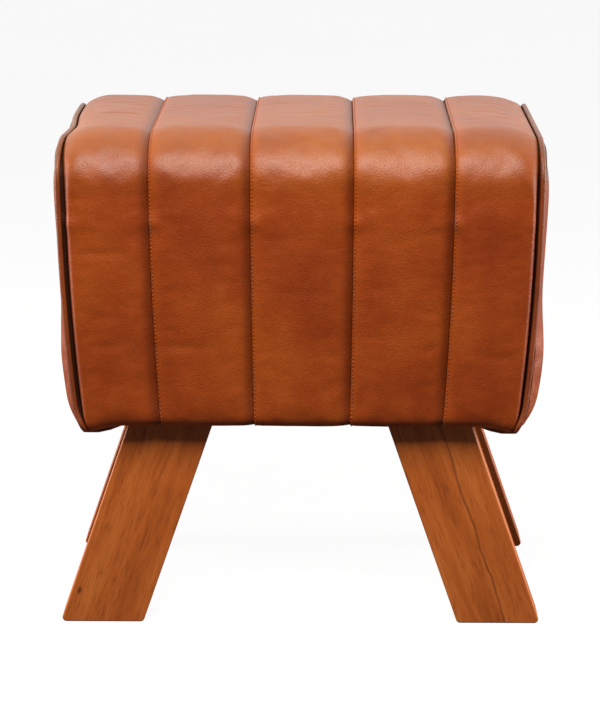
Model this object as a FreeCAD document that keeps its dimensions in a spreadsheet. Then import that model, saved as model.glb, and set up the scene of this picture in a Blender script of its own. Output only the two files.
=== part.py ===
import FreeCAD, Part
import math
import os
import re
import Sketcher

# A leather footstool in the style of a pommel horse.
# X runs along the seat, Y from front (-Y) to rear, +Z up. The origin is on the floor under the seat's centre.
# A plywood box carries the foam and the leather, and four splayed planks are bolted inside the box.

# Driving sizes in millimetres: alias, value, meaning.
SIZES = [
    ("stool_height", 450, "floor to the crown of the seat"),
    ("body_depth", 300, "front leather face to rear leather face"),
    ("body_bottom", 190, "floor to the underside of the leather"),
    ("top_round", 60, "outer radius of the long top edges"),
    ("bottom_round", 16, "outer radius of the long bottom edges"),
    ("leather", 1.4, "thickness of the hide"),
    ("wadding", 6.4, "foam between the hide and the front and rear panels"),
    ("board", 12, "thickness of the plywood"),
    ("box_end", 186, "half the length of the plywood box"),
    ("pipe_place", 208, "centre plane of each piping from the stool's centre"),
    ("pipe_size", 4.5, "outside diameter of the piping"),
    ("cord_size", 2.4, "diameter of the cord inside the piping"),
    ("end_crown", 18, "how far an end cover stands out past its piping"),
    ("end_inset", 1, "end cover's outline inside the channels' outline"),
    ("end_round", 14, "rounding of an end cover's rim"),
    ("end_foam_inset", 4.6, "end foam's outline inside the channels' outline"),
    ("end_foam_round", 11, "rounding of the end foam's rim"),
    ("inner_seam", 44.5, "inner seams from the stool's centre"),
    ("outer_seam", 131.5, "outer seams from the stool's centre"),
    ("seam_gap", 1.2, "gap between two channel panels at a seam"),
    ("thread_size", 0.8, "thickness of a seam thread"),
    ("thread_depth", 0.3, "how far a seam thread lies under the leather's surface"),
    ("hem_end", 130.6, "where the leather turned under the box ends, from the centre"),
    ("panel_round", 8.2, "rounding of the panels' lower outer edges"),
    ("leg_width", 75.5, "level width of a leg, along X"),
    ("leg_thick", 36, "thickness of a leg, along Y"),
    ("leg_top", 300, "height of a leg's level top"),
    ("foot_reach", 218.5, "outer corner of a foot from the centre"),
    ("leg_top_reach", 114.4, "outer corner of a leg's top from the centre"),
    ("foot_round", 4, "rounding of a foot's two corners"),
    ("leg_edge_round", 1.5, "rounding of a leg's long edges"),
    ("bolt_low", 225, "height of the lower leg bolt"),
    ("bolt_high", 270, "height of the upper leg bolt"),
    ("bolt_size", 8, "bolt diameter"),
    ("bolt_clearance", 9, "bore for a bolt through a leg"),
    ("bolt_head_across", 14.8, "bolt head's diameter over its corners"),
    ("bolt_head_thick", 5.3, "bolt head's thickness"),
    ("washer_size", 24, "washer diameter"),
    ("washer_thick", 2, "washer thickness"),
    ("nut_flange", 20, "tee nut's flange diameter"),
    ("nut_flange_thick", 1.5, "tee nut's flange thickness"),
    ("nut_barrel", 10, "tee nut's barrel diameter"),
    ("nut_barrel_long", 10, "tee nut's length with its flange"),
    ("screw_size", 4, "frame screw diameter"),
    ("screw_head", 8, "frame screw's countersunk head diameter"),
    ("screw_head_deep", 2.4, "frame screw's head depth"),
    ("screw_long", 40, "frame screw's length"),
    ("block_side", 30, "side of a square corner block"),
    ("block_low", 225, "height of a corner block's lower end"),
    ("batten_wide", 40, "width of the batten under the top board"),
    ("batten_thick", 30, "thickness of the batten under the top board"),
    ("batten_screw", 90, "batten's screws from the centre, along Y"),
    ("batten_screw_side", 10, "batten's screws from the centre, along X"),
    ("cover_thick", 0.8, "thickness of the dust cover"),
    ("cover_long", 184, "half the dust cover's length"),
    ("cover_wide", 134, "half the dust cover's width"),
    ("slot_inner", 74.5, "inner end of a leg's slot in the dust cover"),
    ("slot_outer", 156, "outer end of a leg's slot in the dust cover"),
    ("slot_near", 92, "inner side of a leg's slot in the dust cover"),
    ("slot_far", 130.9, "outer side of a leg's slot in the dust cover"),
    ("staple_crown", 10, "length of a staple's crown"),
    ("staple_wire", 0.6, "thickness of a staple's wire"),
    ("staple_leg", 8, "length of a staple's legs"),
    ("staple_line", 132.2, "line of staples along the front and the rear, from the centre"),
]

# Heights of the screws that hold the panels to the end boards.
SCREW_HEIGHTS = [225, 290, 355]
# Staples along the front and rear edges by X, and along the ends by Y.
LONG_EDGE_STAPLES = [25, 60, 168]
END_EDGE_STAPLES = [30, 90]

document = FreeCAD.newDocument("footstool")
sheet = document.addObject("Spreadsheet::Sheet", "Sizes")
for row, (alias, size, meaning) in enumerate(SIZES, start=1):
    sheet.set(f"A{row}", meaning)
    sheet.set(f"B{row}", str(size))
    sheet.setAlias(f"B{row}", alias)
document.recompute()

# Places worked out from the driving sizes.
PANEL_OUT = "(body_depth / 2 - leather - wadding)"
PANEL_IN = f"({PANEL_OUT} - board)"
BOX_LOW = "(body_bottom + leather)"
BOX_HIGH = "(stool_height - top_round)"
CHANNEL_END = "(pipe_place - pipe_size / 2)"
COVER_START = "(pipe_place + pipe_size / 2)"
END_MID = "(box_end - board / 2)"
END_IN = "(box_end - board)"
HEAD_SEAT = f"({PANEL_IN} - leg_thick)"
LEG_LEAN = "((foot_reach - leg_top_reach) / leg_top)"


def in_sheet(formula):
    """Put the sheet's name before each alias in a formula."""
    return re.sub(r"[a-z_]{3,}", lambda word: "Sizes." + word.group(), str(formula))


def bind(thing, path, formula):
    thing.setExpression(path, in_sheet(formula))


def value(formula):
    return float(sheet.evalExpression(in_sheet(formula)))


def place(thing, x="0", y="0", z="0", axis=(0, 0, 1), turn=0):
    """Turn a piece about an axis, and bind its place to the sheet."""
    thing.Placement = FreeCAD.Placement(FreeCAD.Vector(), FreeCAD.Rotation(FreeCAD.Vector(*axis), turn))
    for name, formula in (("x", x), ("y", y), ("z", z)):
        bind(thing, f"Placement.Base.{name}", formula)


# ---- Sketches and PartDesign features ----

def new_body(label):
    body = document.addObject("PartDesign::Body", label + "_body")
    body.Label = label
    return body


def sketch_on(body, plane):
    sketch = body.newObject("Sketcher::SketchObject", "Outline")
    support = next(item for item in body.Origin.OriginFeatures if item.Role == plane)
    sketch.AttachmentSupport = (support, [""])
    sketch.MapMode = "FlatFace"
    return sketch


def size_constraint(sketch, formula, kind, *where):
    index = sketch.addConstraint(Sketcher.Constraint(kind, *where, value(formula)))
    bind(sketch, f"Constraints[{index}]", formula)


def polygon(sketch, corners):
    """A closed outline through corners, each a pair of formulas."""
    points = [FreeCAD.Vector(value(across), value(up), 0) for across, up in corners]
    lines = []
    for start, end in zip(points, points[1:] + points[:1]):
        lines.append(sketch.addGeometry(Part.LineSegment(start, end)))
    for line, following in zip(lines, lines[1:] + lines[:1]):
        sketch.addConstraint(Sketcher.Constraint("Coincident", line, 2, following, 1))
    for line, (across, up) in zip(lines, corners):
        size_constraint(sketch, across, "DistanceX", -1, 1, line, 1)
        size_constraint(sketch, up, "DistanceY", -1, 1, line, 1)


def block_outline(sketch, inset):
    """The stool body's section, inset: a block with a large radius above and a small one below."""
    half = f"(body_depth / 2 - {inset})"
    low = f"(body_bottom + {inset})"
    high = f"(stool_height - {inset})"
    top = f"(top_round - {inset})"
    bottom = f"(bottom_round - {inset})"
    side, floor, crown = value(half), value(low), value(high)
    big, small = value(top), value(bottom)
    vector, quarter = FreeCAD.Vector, math.pi / 2

    def line(start, end):
        return sketch.addGeometry(Part.LineSegment(vector(*start, 0), vector(*end, 0)))

    def arc(middle, radius, first):
        circle = Part.Circle(vector(*middle, 0), vector(0, 0, 1), radius)
        return sketch.addGeometry(Part.ArcOfCircle(circle, first * quarter, (first + 1) * quarter))

    path = [
        line((-side + small, floor), (side - small, floor)),
        arc((side - small, floor + small), small, 3),
        line((side, floor + small), (side, crown - big)),
        arc((side - big, crown - big), big, 0),
        line((side - big, crown), (-side + big, crown)),
        arc((-side + big, crown - big), big, 1),
        line((-side, crown - big), (-side, floor + small)),
        arc((-side + small, floor + small), small, 2),
    ]
    for piece, following in zip(path, path[1:] + path[:1]):
        sketch.addConstraint(Sketcher.Constraint("Tangent", piece, 2, following, 1))
    for index, direction in ((0, "Horizontal"), (2, "Vertical"), (4, "Horizontal"), (6, "Vertical")):
        sketch.addConstraint(Sketcher.Constraint(direction, path[index]))
    sketch.addConstraint(Sketcher.Constraint("Equal", path[3], path[5]))
    sketch.addConstraint(Sketcher.Constraint("Equal", path[1], path[7]))
    size_constraint(sketch, top, "Radius", path[3])
    size_constraint(sketch, bottom, "Radius", path[1])
    size_constraint(sketch, half, "DistanceX", -1, 1, path[2], 1)
    size_constraint(sketch, f"(-{half})", "DistanceX", -1, 1, path[6], 1)
    size_constraint(sketch, low, "DistanceY", -1, 1, path[0], 1)
    size_constraint(sketch, high, "DistanceY", -1, 1, path[4], 1)


def circle_on(sketch, across, up, diameter):
    middle = FreeCAD.Vector(value(across), value(up), 0)
    circle = sketch.addGeometry(Part.Circle(middle, FreeCAD.Vector(0, 0, 1), value(diameter) / 2))
    size_constraint(sketch, across, "DistanceX", -1, 1, circle, 3)
    size_constraint(sketch, up, "DistanceY", -1, 1, circle, 3)
    size_constraint(sketch, f"{diameter} / 2", "Radius", circle)


def pad(body, sketch, length, both_ways=False):
    feature = body.newObject("PartDesign::Pad", "Pad")
    feature.Profile = sketch
    if both_ways:
        feature.SideType = "Symmetric"
    bind(feature, "Length", length)
    document.recompute()
    return feature


def cut_through(body, sketch):
    """Pocket a sketch right through the body, both ways, and make sure that it cut something."""
    before = body.Shape.Volume
    feature = body.newObject("PartDesign::Pocket", "Pocket")
    feature.Profile = sketch
    feature.Type = "ThroughAll"
    feature.SideType = "Symmetric"
    document.recompute()
    if body.Shape.Volume >= before:
        raise RuntimeError(f"the pocket in {body.Label} cut nothing")
    return feature


def round_edges(body, feature, test, radius):
    """Fillet the edges of a feature for which test is true."""
    chosen = [f"Edge{n}" for n, edge in enumerate(feature.Shape.Edges, start=1) if test(edge)]
    fillet = body.newObject("PartDesign::Fillet", "Fillet")
    fillet.Base = (feature, chosen)
    bind(fillet, "Radius", radius)
    document.recompute()
    return fillet


# ---- Part primitives and booleans ----

def box(label, low, high):
    """A box between two corners, each three formulas."""
    block = document.addObject("Part::Box", label)
    for name, start, end in zip(("Length", "Width", "Height"), low, high):
        bind(block, name, f"{end} - {start}")
    place(block, *low)
    return block


def rod(radius, length, x, y, z, axis=(0, 0, 1), turn=0):
    """A cylinder that starts at a point and runs along +Z, then turned."""
    cylinder = document.addObject("Part::Cylinder", "Rod")
    bind(cylinder, "Radius", radius)
    bind(cylinder, "Height", length)
    place(cylinder, x, y, z, axis, turn)
    return cylinder


def fused(label, pieces):
    union = document.addObject("Part::MultiFuse", label)
    union.Shapes = pieces
    union.Label = label
    return union


def cut(label, base, tool):
    difference = document.addObject("Part::Cut", label)
    difference.Base = base
    difference.Tool = tool
    difference.Label = label
    return difference


def mirrored(piece, normal):
    mirror = document.addObject("Part::Mirroring", "Mirror")
    mirror.Source = piece
    mirror.Normal = FreeCAD.Vector(*normal)
    return mirror


def four_fold(label, pieces):
    """The pieces of one quarter of the stool, repeated in all four quarters as one group."""
    quarter = fused(label + "_quarter", pieces)
    half = fused(label + "_half", [quarter, mirrored(quarter, (1, 0, 0))])
    return fused(label, [half, mirrored(half, (0, 1, 0))])


OUTWARD = {"axis": (1, 0, 0), "turn": 90}
INWARD = {"axis": (1, 0, 0), "turn": -90}
DOWN = {"axis": (1, 0, 0), "turn": 180}


# ---- Legs ----

def bolt_centre(height):
    """The X of a leg's centre line at a height, on the left of the stool."""
    return f"leg_width / 2 - foot_reach + {LEG_LEAN} * {height}"


def leg(label, x_side, y_side):
    """A plank cut level at both ends, leaning out towards its end of the stool."""
    body = new_body(label)
    outline = sketch_on(body, "XZ_Plane")
    polygon(outline, [
        ("-foot_reach", "0"),
        ("leg_width - foot_reach", "0"),
        ("leg_width - leg_top_reach", "leg_top"),
        ("-leg_top_reach", "leg_top"),
    ])
    plank = pad(body, outline, "leg_thick", both_ways=True)
    bores = sketch_on(body, "XZ_Plane")
    for height in ("bolt_low", "bolt_high"):
        circle_on(bores, bolt_centre(height), height, "bolt_clearance")
    bored = cut_through(body, bores)

    def foot_corner(edge):
        return edge.BoundBox.ZMax < 0.01 and edge.BoundBox.XLength < 0.01

    def long_edge(edge):
        return edge.BoundBox.ZLength > plank.Shape.BoundBox.ZLength / 2 and edge.BoundBox.YLength < 0.01

    rounded = round_edges(body, bored, foot_corner, "foot_round")
    round_edges(body, rounded, long_edge, "leg_edge_round")
    place(body, y=f"{y_side} * ({PANEL_IN} - leg_thick / 2)", turn=90 + 90 * x_side)
    return body


# ---- Fasteners ----

def leg_bolt(height):
    """A hexagon bolt from inside the box, through a leg and its panel."""
    head = document.addObject("Part::Prism", "Head")
    head.Polygon = 6
    bind(head, "Circumradius", "bolt_head_across / 2")
    bind(head, "Height", "bolt_head_thick")
    place(head, bolt_centre(height), f"-({HEAD_SEAT} - washer_thick - bolt_head_thick)", height, **OUTWARD)
    shank = rod("bolt_size / 2", f"{PANEL_OUT} - {HEAD_SEAT} + washer_thick",
                bolt_centre(height), f"-({HEAD_SEAT} - washer_thick)", height, **OUTWARD)
    return fused("leg_bolt", [head, shank])


def leg_washer(height):
    start = f"-({HEAD_SEAT} - washer_thick)"
    disc = rod("washer_size / 2", "washer_thick", bolt_centre(height), start, height, **OUTWARD)
    bore = rod("bolt_size / 2", "washer_thick", bolt_centre(height), start, height, **OUTWARD)
    return cut("leg_washer", disc, bore)


def tee_nut(height):
    """A flange let into the panel's outer face, with a threaded barrel in the panel."""
    face = f"-{PANEL_OUT}"
    flange = rod("nut_flange / 2", "nut_flange_thick", bolt_centre(height), face, height, **INWARD)
    barrel = rod("nut_barrel / 2", "nut_barrel_long", bolt_centre(height), face, height, **INWARD)
    thread = rod("bolt_size / 2", "nut_barrel_long", bolt_centre(height), face, height, **INWARD)
    return cut("leg_tee_nut", fused("nut_blank", [flange, barrel]), thread)


def frame_screw(x, y, z, direction):
    """A countersunk screw whose head is flush with the face that it starts from."""
    head = document.addObject("Part::Cone", "Head")
    bind(head, "Radius1", "screw_head / 2")
    bind(head, "Radius2", "screw_size / 2")
    bind(head, "Height", "screw_head_deep")
    place(head, x, y, z, **direction)
    return fused("frame_screw", [head, rod("screw_size / 2", "screw_long", x, y, z, **direction)])


def staple(x, y, along_x):
    """A wire crown under the dust cover with two legs up into the plywood."""
    low = "(body_bottom - cover_thick - staple_wire)"
    high = "(body_bottom - cover_thick)"
    tip = f"({high} + staple_leg)"
    half_crown, half_wire = "staple_crown / 2", "staple_wire / 2"
    reach = (half_crown, half_wire) if along_x else (half_wire, half_crown)
    crown = box("Crown", (f"({x} - {reach[0]})", f"({y} - {reach[1]})", low),
                (f"({x} + {reach[0]})", f"({y} + {reach[1]})", high))
    parts = [crown]
    for side in (-1, 1):
        shift = f"{side} * (staple_crown - staple_wire) / 2"
        leg_x = f"({x} + {shift})" if along_x else f"({x})"
        leg_y = f"({y})" if along_x else f"({y} + {shift})"
        parts.append(box("Prong", (f"({leg_x} - {half_wire})", f"({leg_y} - {half_wire})", low),
                         (f"({leg_x} + {half_wire})", f"({leg_y} + {half_wire})", tip)))
    return fused("cover_staple", parts)


# ---- Cover ----

def channel_skin(label, start, end, inset, thick):
    """A strip that wraps front, top and rear, and turns in under the box at both lower edges."""
    body = new_body(label)
    section = sketch_on(body, "YZ_Plane")
    block_outline(section, inset)
    block_outline(section, f"({inset} + {thick})")
    pad(body, section, f"{end} - {start}")
    opening = sketch_on(body, "YZ_Plane")
    below = "body_bottom - board"
    above = "body_bottom + board"
    polygon(opening, [("-hem_end", below), ("hem_end", below), ("hem_end", above), ("-hem_end", above)])
    cut_through(body, opening)
    place(body, x=start)
    return body


def end_dome(label, side, start, inset, depth, rounding, hollow):
    """An end panel or its foam: the body's section, inset, with a rounded rim."""
    body = new_body(label)
    section = sketch_on(body, "YZ_Plane")
    block_outline(section, inset)
    slab = pad(body, section, depth)
    far = value(depth)
    dome = round_edges(body, slab, lambda edge: edge.BoundBox.XMin > far - 0.01, rounding)
    if hollow:
        back = [f"Face{n}" for n, face in enumerate(dome.Shape.Faces, start=1) if face.BoundBox.XMax < 0.01]
        skin = body.newObject("PartDesign::Thickness", "Skin")
        skin.Base = (dome, back)
        skin.Reversed = True
        skin.Join = "Intersection"
        bind(skin, "Value", "leather")
        document.recompute()
    place(body, x=f"{side} * {start}", turn=90 - 90 * side)
    return body


def hoop(label, side, radius):
    """A round bar over front, top and rear, whose two ends turn in under the body."""
    middle = "pipe_size / 2"
    x = f"({side} * pipe_place)"
    wide = f"(body_depth / 2 - {middle})"
    low, high = f"(body_bottom + {middle})", f"(stool_height - {middle})"
    big, small = f"(top_round - {middle})", f"(bottom_round - {middle})"
    along_y = {"axis": (1, 0, 0), "turn": -90}
    runs = [
        rod(radius, f"{high} - {low} - {big} - {small}", x, f"-{wide}", f"{low} + {small}"),
        rod(radius, f"{high} - {low} - {big} - {small}", x, wide, f"{low} + {small}"),
        rod(radius, f"2 * ({wide} - {big})", x, f"-({wide} - {big})", high, **along_y),
        rod(radius, f"{wide} - {small} - hem_end", x, f"-({wide} - {small})", low, **along_y),
        rod(radius, f"{wide} - {small} - hem_end", x, "hem_end", low, **along_y),
    ]
    for bend, y_side, height, first in (
        (big, 1, f"({high} - {big})", 0),
        (big, -1, f"({high} - {big})", 90),
        (small, -1, f"({low} + {small})", 180),
        (small, 1, f"({low} + {small})", 270),
    ):
        corner = document.addObject("Part::Torus", "Corner")
        bind(corner, "Radius1", bend)
        bind(corner, "Radius2", radius)
        corner.Angle3 = 90
        place(corner, x, f"{y_side} * ({wide} - {bend})", height)
        # The torus lies in XY: stand it up in YZ, then turn it to its own quarter.
        stand = FreeCAD.Rotation(FreeCAD.Vector(1, 1, 1), 120)
        quarter = FreeCAD.Rotation(FreeCAD.Vector(1, 0, 0), first)
        corner.Placement = FreeCAD.Placement(FreeCAD.Vector(), quarter.multiply(stand))
        runs.append(corner)
    return fused(label, runs)


# ---- The stool ----

nodes = {}


def keep(name, piece):
    piece.Label = name
    nodes[name] = piece


SIDES = (("left", -1), ("right", 1))
ROWS = (("front", -1), ("rear", 1))

for row_name, y_side in ROWS:
    for side_name, x_side in SIDES:
        name = f"leg_{row_name}_{side_name}"
        keep(name, leg(name, x_side, y_side))

heights = ("bolt_low", "bolt_high")
leg_bolts = four_fold("leg_bolts", [leg_bolt(height) for height in heights])
leg_washers = four_fold("leg_washers", [leg_washer(height) for height in heights])
leg_tee_nuts = four_fold("leg_tee_nuts", [tee_nut(height) for height in heights])

screws = [frame_screw(f"-{END_MID}", f"-{PANEL_OUT}", height, INWARD) for height in SCREW_HEIGHTS]
block_centre = (f"-({END_IN} - block_side / 2)", f"-({PANEL_IN} - block_side / 2)")
screws.append(frame_screw(*block_centre, BOX_HIGH, DOWN))
screws.append(frame_screw("-batten_screw_side", "-batten_screw", BOX_HIGH, DOWN))
frame_screws = four_fold("frame_screws", screws)

staples = [staple(f"(-{x})", "(-staple_line)", True) for x in LONG_EDGE_STAPLES]
staples += [staple(f"(-{END_MID})", f"(-{y})", False) for y in END_EDGE_STAPLES]
cover_staples = four_fold("cover_staples", staples)

for name, group in (
    ("leg_bolts", leg_bolts),
    ("leg_washers", leg_washers),
    ("leg_tee_nuts", leg_tee_nuts),
    ("frame_screws", frame_screws),
    ("cover_staples", cover_staples),
):
    keep(name, group)

# Everything that is driven into the plywood leaves its own hole there.
fixings = fused("fixings", [leg_bolts, leg_tee_nuts, frame_screws, cover_staples])

for row_name, y_side in ROWS:
    blank = new_body(f"{row_name}_panel_blank")
    face = sketch_on(blank, "XZ_Plane")
    polygon(face, [("-box_end", BOX_LOW), ("box_end", BOX_LOW), ("box_end", BOX_HIGH), ("-box_end", BOX_HIGH)])
    sheet_of_ply = pad(blank, face, "board", both_ways=True)
    outer_y = y_side * value("board / 2")
    foot_of_panel = value(BOX_LOW) + 0.01

    def lower_outer(edge):
        return edge.BoundBox.ZMax < foot_of_panel and abs(edge.CenterOfMass.y - outer_y) < 0.01

    round_edges(blank, sheet_of_ply, lower_outer, "panel_round")
    place(blank, y=f"{y_side} * ({PANEL_OUT} - board / 2)")
    keep(f"{row_name}_panel", cut(f"{row_name}_panel", blank, fixings))

for side_name, x_side in SIDES:
    near, far = ("(-box_end)", f"-{END_IN}") if x_side < 0 else (END_IN, "box_end")
    blank = box("end_board_blank", (near, f"-{PANEL_IN}", BOX_LOW), (far, PANEL_IN, BOX_HIGH))
    keep(f"end_board_{side_name}", cut(f"end_board_{side_name}", blank, fixings))

top_blank = box("top_board_blank", (f"-{END_IN}", f"-{PANEL_IN}", f"({BOX_HIGH} - board)"),
                (END_IN, PANEL_IN, BOX_HIGH))
keep("top_board", cut("top_board", top_blank, fixings))

for row_name, y_side in ROWS:
    for side_name, x_side in SIDES:
        x_near = f"({x_side} * ({END_IN} - block_side / 2) - block_side / 2)"
        y_near = f"({y_side} * ({PANEL_IN} - block_side / 2) - block_side / 2)"
        blank = box("block_blank", (x_near, y_near, "block_low"),
                    (f"({x_near} + block_side)", f"({y_near} + block_side)", f"({BOX_HIGH} - board)"))
        name = f"corner_block_{row_name}_{side_name}"
        keep(name, cut(name, blank, fixings))

batten_blank = box("batten_blank", ("(-batten_wide / 2)", f"-{PANEL_IN}", f"({BOX_HIGH} - board - batten_thick)"),
                   ("(batten_wide / 2)", PANEL_IN, f"({BOX_HIGH} - board)"))
keep("top_batten", cut("top_batten", batten_blank, fixings))

# Foam: one deep loaf on the top board, thin sheets on the panels and a domed pad on each end board.
foam_top = new_body("foam_top")
loaf = sketch_on(foam_top, "YZ_Plane")
block_outline(loaf, "leather")
pad(foam_top, loaf, "2 * box_end")
under = sketch_on(foam_top, "YZ_Plane")
polygon(under, [("-body_depth", "body_bottom - board"), ("body_depth", "body_bottom - board"),
                ("body_depth", BOX_HIGH), ("-body_depth", BOX_HIGH)])
cut_through(foam_top, under)
place(foam_top, x="-box_end")
keep("foam_top", foam_top)

foam_low = "(body_bottom + bottom_round)"
foam_face = "(body_depth / 2 - leather)"
keep("foam_front", box("foam_front", ("(-box_end)", f"-{foam_face}", foam_low),
                       ("box_end", f"-{PANEL_OUT}", BOX_HIGH)))
keep("foam_rear", box("foam_rear", ("(-box_end)", PANEL_OUT, foam_low),
                      ("box_end", foam_face, BOX_HIGH)))

for side_name, x_side in SIDES:
    name = f"foam_end_{side_name}"
    depth = f"({COVER_START} + end_crown - leather - box_end)"
    keep(name, end_dome(name, x_side, "box_end", "end_foam_inset", depth, "end_foam_round", False))
    name = f"end_cover_{side_name}"
    dome = end_dome(name + "_dome", x_side, COVER_START, "end_inset", "end_crown", "end_round", True)
    # The end cover's lower edge turns in under the box, where staples hold it.
    edge_out = f"({COVER_START} + 2 * leather)"
    near, far = (f"-{edge_out}", f"-{END_IN}") if x_side < 0 else (END_IN, edge_out)
    flap = box("end_flap", (near, "(-hem_end)", "body_bottom"), (far, "hem_end", BOX_LOW))
    keep(name, cut(name, fused(name + "_blank", [dome, flap]), cover_staples))
    cord = hoop(f"piping_cord_{side_name}", x_side, "cord_size / 2")
    keep(f"piping_cord_{side_name}", cord)
    sleeve = hoop(f"piping_blank_{side_name}", x_side, "pipe_size / 2")
    keep(f"piping_{side_name}", cut(f"piping_{side_name}", sleeve, cord))

# Five channels, with a seam between each two neighbours.
seams = ["(-outer_seam)", "(-inner_seam)", "inner_seam", "outer_seam"]
starts = [f"(-{CHANNEL_END})"] + [f"({seam} + seam_gap / 2)" for seam in seams]
ends = [f"({seam} - seam_gap / 2)" for seam in seams] + [CHANNEL_END]
for number, (start, end) in enumerate(zip(starts, ends), start=1):
    name = f"channel_panel_{number}"
    skin = channel_skin(name + "_blank", start, end, "0", "leather")
    keep(name, cut(name, skin, cover_staples))
for number, seam in enumerate(seams, start=1):
    name = f"seam_thread_{number}"
    keep(name, channel_skin(name, f"({seam} - thread_size / 2)", f"({seam} + thread_size / 2)",
                            "thread_depth", "thread_size"))

cover = new_body("dust_cover_blank")
cloth = sketch_on(cover, "XY_Plane")
polygon(cloth, [("-cover_long", "-cover_wide"), ("cover_long", "-cover_wide"),
                ("cover_long", "cover_wide"), ("-cover_long", "cover_wide")])
pad(cover, cloth, "cover_thick")
slots = sketch_on(cover, "XY_Plane")
for x_side in (-1, 1):
    for y_side in (-1, 1):
        x_ends = (f"({x_side} * slot_inner)", f"({x_side} * slot_outer)")
        y_ends = (f"({y_side} * slot_near)", f"({y_side} * slot_far)")
        polygon(slots, [(x_ends[0], y_ends[0]), (x_ends[1], y_ends[0]),
                        (x_ends[1], y_ends[1]), (x_ends[0], y_ends[1])])
cut_through(cover, slots)
place(cover, z="body_bottom - cover_thick")
keep("dust_cover", cut("dust_cover", cover, cover_staples))

document.recompute()

for item in document.Objects:
    if "Invalid" in item.State or "Error" in item.State:
        raise RuntimeError(f"{item.Label} failed: {item.State}")
for name, piece in nodes.items():
    if piece.Shape.isNull() or not piece.Shape.isValid() or not piece.Shape.Solids:
        raise RuntimeError(f"{name} has no valid solid")

os.makedirs("parts", exist_ok=True)
for name, piece in nodes.items():
    piece.Shape.exportStep(f"parts/{name}.step")
    bounds = piece.Shape.BoundBox
    print(f"{name:26s} {len(piece.Shape.Solids):3d} solids {piece.Shape.Volume / 1000:9.1f} cm3",
          f"x {bounds.XMin:7.1f} {bounds.XMax:7.1f} y {bounds.YMin:7.1f} {bounds.YMax:7.1f}",
          f"z {bounds.ZMin:6.1f} {bounds.ZMax:6.1f}")
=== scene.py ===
import math

import bpy
import numpy as np
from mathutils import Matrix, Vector, noise


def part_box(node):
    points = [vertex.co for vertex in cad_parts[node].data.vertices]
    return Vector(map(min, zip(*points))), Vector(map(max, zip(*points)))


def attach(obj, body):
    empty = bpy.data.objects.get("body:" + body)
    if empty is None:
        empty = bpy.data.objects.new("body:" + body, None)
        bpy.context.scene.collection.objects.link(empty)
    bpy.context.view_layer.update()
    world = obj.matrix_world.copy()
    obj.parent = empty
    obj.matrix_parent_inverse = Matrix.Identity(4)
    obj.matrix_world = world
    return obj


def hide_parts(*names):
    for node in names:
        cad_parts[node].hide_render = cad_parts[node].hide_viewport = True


# A leather footstool in the style of a pommel horse: channelled cover, piping, end covers and splayed legs.
# X runs along the seat, Y from front (-Y) to rear, +Z up. Lengths are metres.
# The cover is one outline, from the front hem over the top to the rear hem, swept along X. Every soft piece
# is built on it: a place is (x, length along the outline, height above it).

MM = 0.001

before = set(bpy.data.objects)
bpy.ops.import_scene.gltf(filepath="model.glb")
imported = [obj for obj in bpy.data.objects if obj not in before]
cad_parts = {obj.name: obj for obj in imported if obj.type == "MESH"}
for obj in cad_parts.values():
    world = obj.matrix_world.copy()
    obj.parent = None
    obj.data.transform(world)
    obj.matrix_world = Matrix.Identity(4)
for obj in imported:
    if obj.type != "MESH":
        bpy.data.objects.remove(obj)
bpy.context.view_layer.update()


# ---- Sizes from the frame ----

def middle_x(node):
    """The x of a CAD node's middle."""
    low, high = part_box(node)
    return (low.x + high.x) / 2


cover_low, cover_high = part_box("channel_panel_3")
HALF_DEPTH = cover_high.y
CROWN = cover_high.z
UNDER = cover_low.z
BOX_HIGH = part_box("front_panel")[1].z
BOX_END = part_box("front_panel")[1].x
BOARD_FACE = -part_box("front_panel")[0].y
BOTTOM_ROUND = 10 * MM
TURNED_UNDER = 18 * MM
HEM_END = -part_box("foam_front")[0].y - TURNED_UNDER
PIPE_X = middle_x("piping_right")
PIPE_RADIUS = 2.4 * MM
SEAMS = [middle_x(f"seam_thread_{number}") for number in (1, 2, 3, 4)]
HIDE = 1.3 * MM
LEG_WIDE = 75.5 * MM


# ---- The outline ----

# The front half's stretches: the hem under the body, a tight lower bend, the face, the shoulder and the brow.
SHOULDER_ROUND = 32 * MM
SHOULDER_TURN = math.radians(50)
BROW_ROUND = 70 * MM
BROW_TURN = math.pi / 2 - SHOULDER_TURN
SHOULDER_RISE = SHOULDER_ROUND * math.sin(SHOULDER_TURN)
BROW_RISE = BROW_ROUND * (1 - math.cos(BROW_TURN))
SHOULDER_REACH = SHOULDER_ROUND * (1 - math.cos(SHOULDER_TURN))
BROW_REACH = BROW_ROUND * math.sin(BROW_TURN)
HEM = HALF_DEPTH - BOTTOM_ROUND - HEM_END
FACE = CROWN - UNDER - BOTTOM_ROUND - SHOULDER_RISE - BROW_RISE
HALF_TOP = HALF_DEPTH - SHOULDER_REACH - BROW_REACH
# Each stretch's length and radius; a radius of 0 is straight.
STRETCHES = (
    (HEM, 0),
    (BOTTOM_ROUND * math.pi / 2, BOTTOM_ROUND),
    (FACE, 0),
    (SHOULDER_ROUND * SHOULDER_TURN, SHOULDER_ROUND),
    (BROW_ROUND * BROW_TURN, BROW_ROUND),
    (HALF_TOP, 0),
)
HALF_PATH = sum(length for length, radius in STRETCHES)
PATH = 2 * HALF_PATH
FACE_START = HEM + STRETCHES[1][0]
FACE_END = FACE_START + FACE
TOP_START = HALF_PATH - HALF_TOP


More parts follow.
